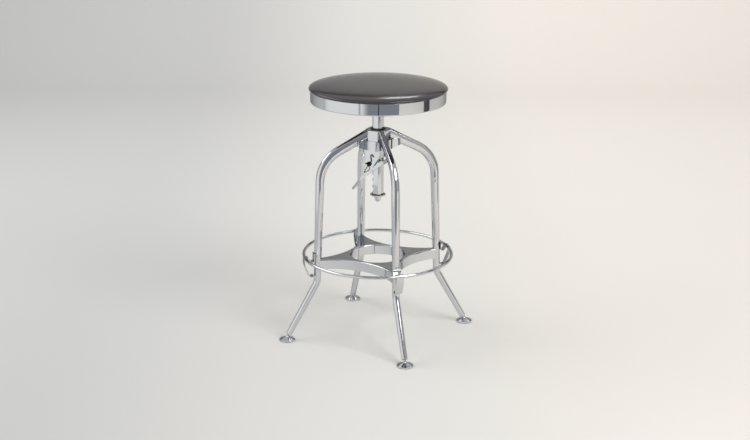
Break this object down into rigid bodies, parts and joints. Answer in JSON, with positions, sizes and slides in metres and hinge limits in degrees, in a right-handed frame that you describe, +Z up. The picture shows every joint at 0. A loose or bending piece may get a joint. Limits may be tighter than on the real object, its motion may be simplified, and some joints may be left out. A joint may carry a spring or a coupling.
{
  "type": "swivel stool",
  "caption": "Round swivel stool: flat padded seat with a chrome band on a notched lifting post, four bent tube legs, pressed braces and a foot ring.",
  "frame": {"origin": "on the floor under the middle of the seat", "axes": "+Z up; the post's flat sides face along X and Y, the legs stand on the diagonals, the lever's handle points to -X"},
  "size_m": [0.3964, 0.3964, 0.677],
  "materials": {
    "chrome": "polished",
    "vinyl": "satin",
    "plywood": "matt",
    "steel": "zinc plated",
    "spring_wire": "blackened",
    "black_nylon": "matt",
    "rubber": "matt"
  },
  "bodies": {
    "frame": {"leg_front": "chrome", "leg_right": "chrome", "leg_back": "chrome", "leg_left": "chrome", "hub_collar": "chrome", "guide_liner": "black_nylon", "upper_brace": "chrome", "lower_brace": "chrome", "footrest_ring": "chrome", "ring_bracket_front": "chrome", "ring_bracket_right": "chrome", "ring_bracket_back": "chrome", "ring_bracket_left": "chrome", "foot_plug_front": "chrome", "foot_plug_right": "chrome", "foot_plug_back": "chrome", "foot_plug_left": "chrome", "lever_bracket": "chrome", "lever_pivot_pin": "chrome", "lever_spring": "spring_wire"},
    "column": {"lifting_post": "chrome", "upper_bush": "black_nylon", "lower_bush": "black_nylon"},
    "seat": {"spindle": "steel", "end_washer": "chrome", "cap_nut": "chrome", "seat_flange": "steel", "seat_board": "plywood", "seat_screws": "steel", "seat_band": "chrome", "seat_cushion": "vinyl"},
    "lever": {"lever": "chrome", "lever_side_plate": "chrome", "pawl_pin": "chrome", "yoke_pin": "chrome"},
    "glide_front": {"glide_cup_front": "chrome", "glide_pad_front": "rubber"},
    "glide_right": {"glide_cup_right": "chrome", "glide_pad_right": "rubber"},
    "glide_back": {"glide_cup_back": "chrome", "glide_pad_back": "rubber"},
    "glide_left": {"glide_cup_left": "chrome", "glide_pad_left": "rubber"}
  },
  "joints": [
    {"name": "lift", "type": "slide", "parent": "frame", "child": "column", "axis": [0, 0, 1], "range_m": [-0.051, 0.051]},
    {"name": "swivel", "type": "hinge", "parent": "column", "child": "seat", "pos_m": [0, 0, 0.6], "axis": [0, 0, 1], "continuous": true},
    {"name": "release", "type": "hinge", "parent": "frame", "child": "lever", "pos_m": [-0.02, 0, 0.463], "axis": [0, 1, 0], "range_deg": [0, 22], "stiffness_Nm_per_rad": 0.35, "springref_deg": -25.78, "deforming": ["lever_spring"]},
    {"name": "tilt_front", "type": "hinge", "parent": "frame", "child": "glide_front", "pos_m": [0.17487, -0.17487, 0.009], "axis": [0.7071, 0.7071, 0], "range_deg": [-8, 8]},
    {"name": "tilt_right", "type": "hinge", "parent": "frame", "child": "glide_right", "pos_m": [0.17487, 0.17487, 0.009], "axis": [-0.7071, 0.7071, 0], "range_deg": [-8, 8]},
    {"name": "tilt_back", "type": "hinge", "parent": "frame", "child": "glide_back", "pos_m": [-0.17487, 0.17487, 0.009], "axis": [-0.7071, -0.7071, 0], "range_deg": [-8, 8]},
    {"name": "tilt_left", "type": "hinge", "parent": "frame", "child": "glide_left", "pos_m": [-0.17487, -0.17487, 0.009], "axis": [0.7071, -0.7071, 0], "range_deg": [-8, 8]}
  ]
}
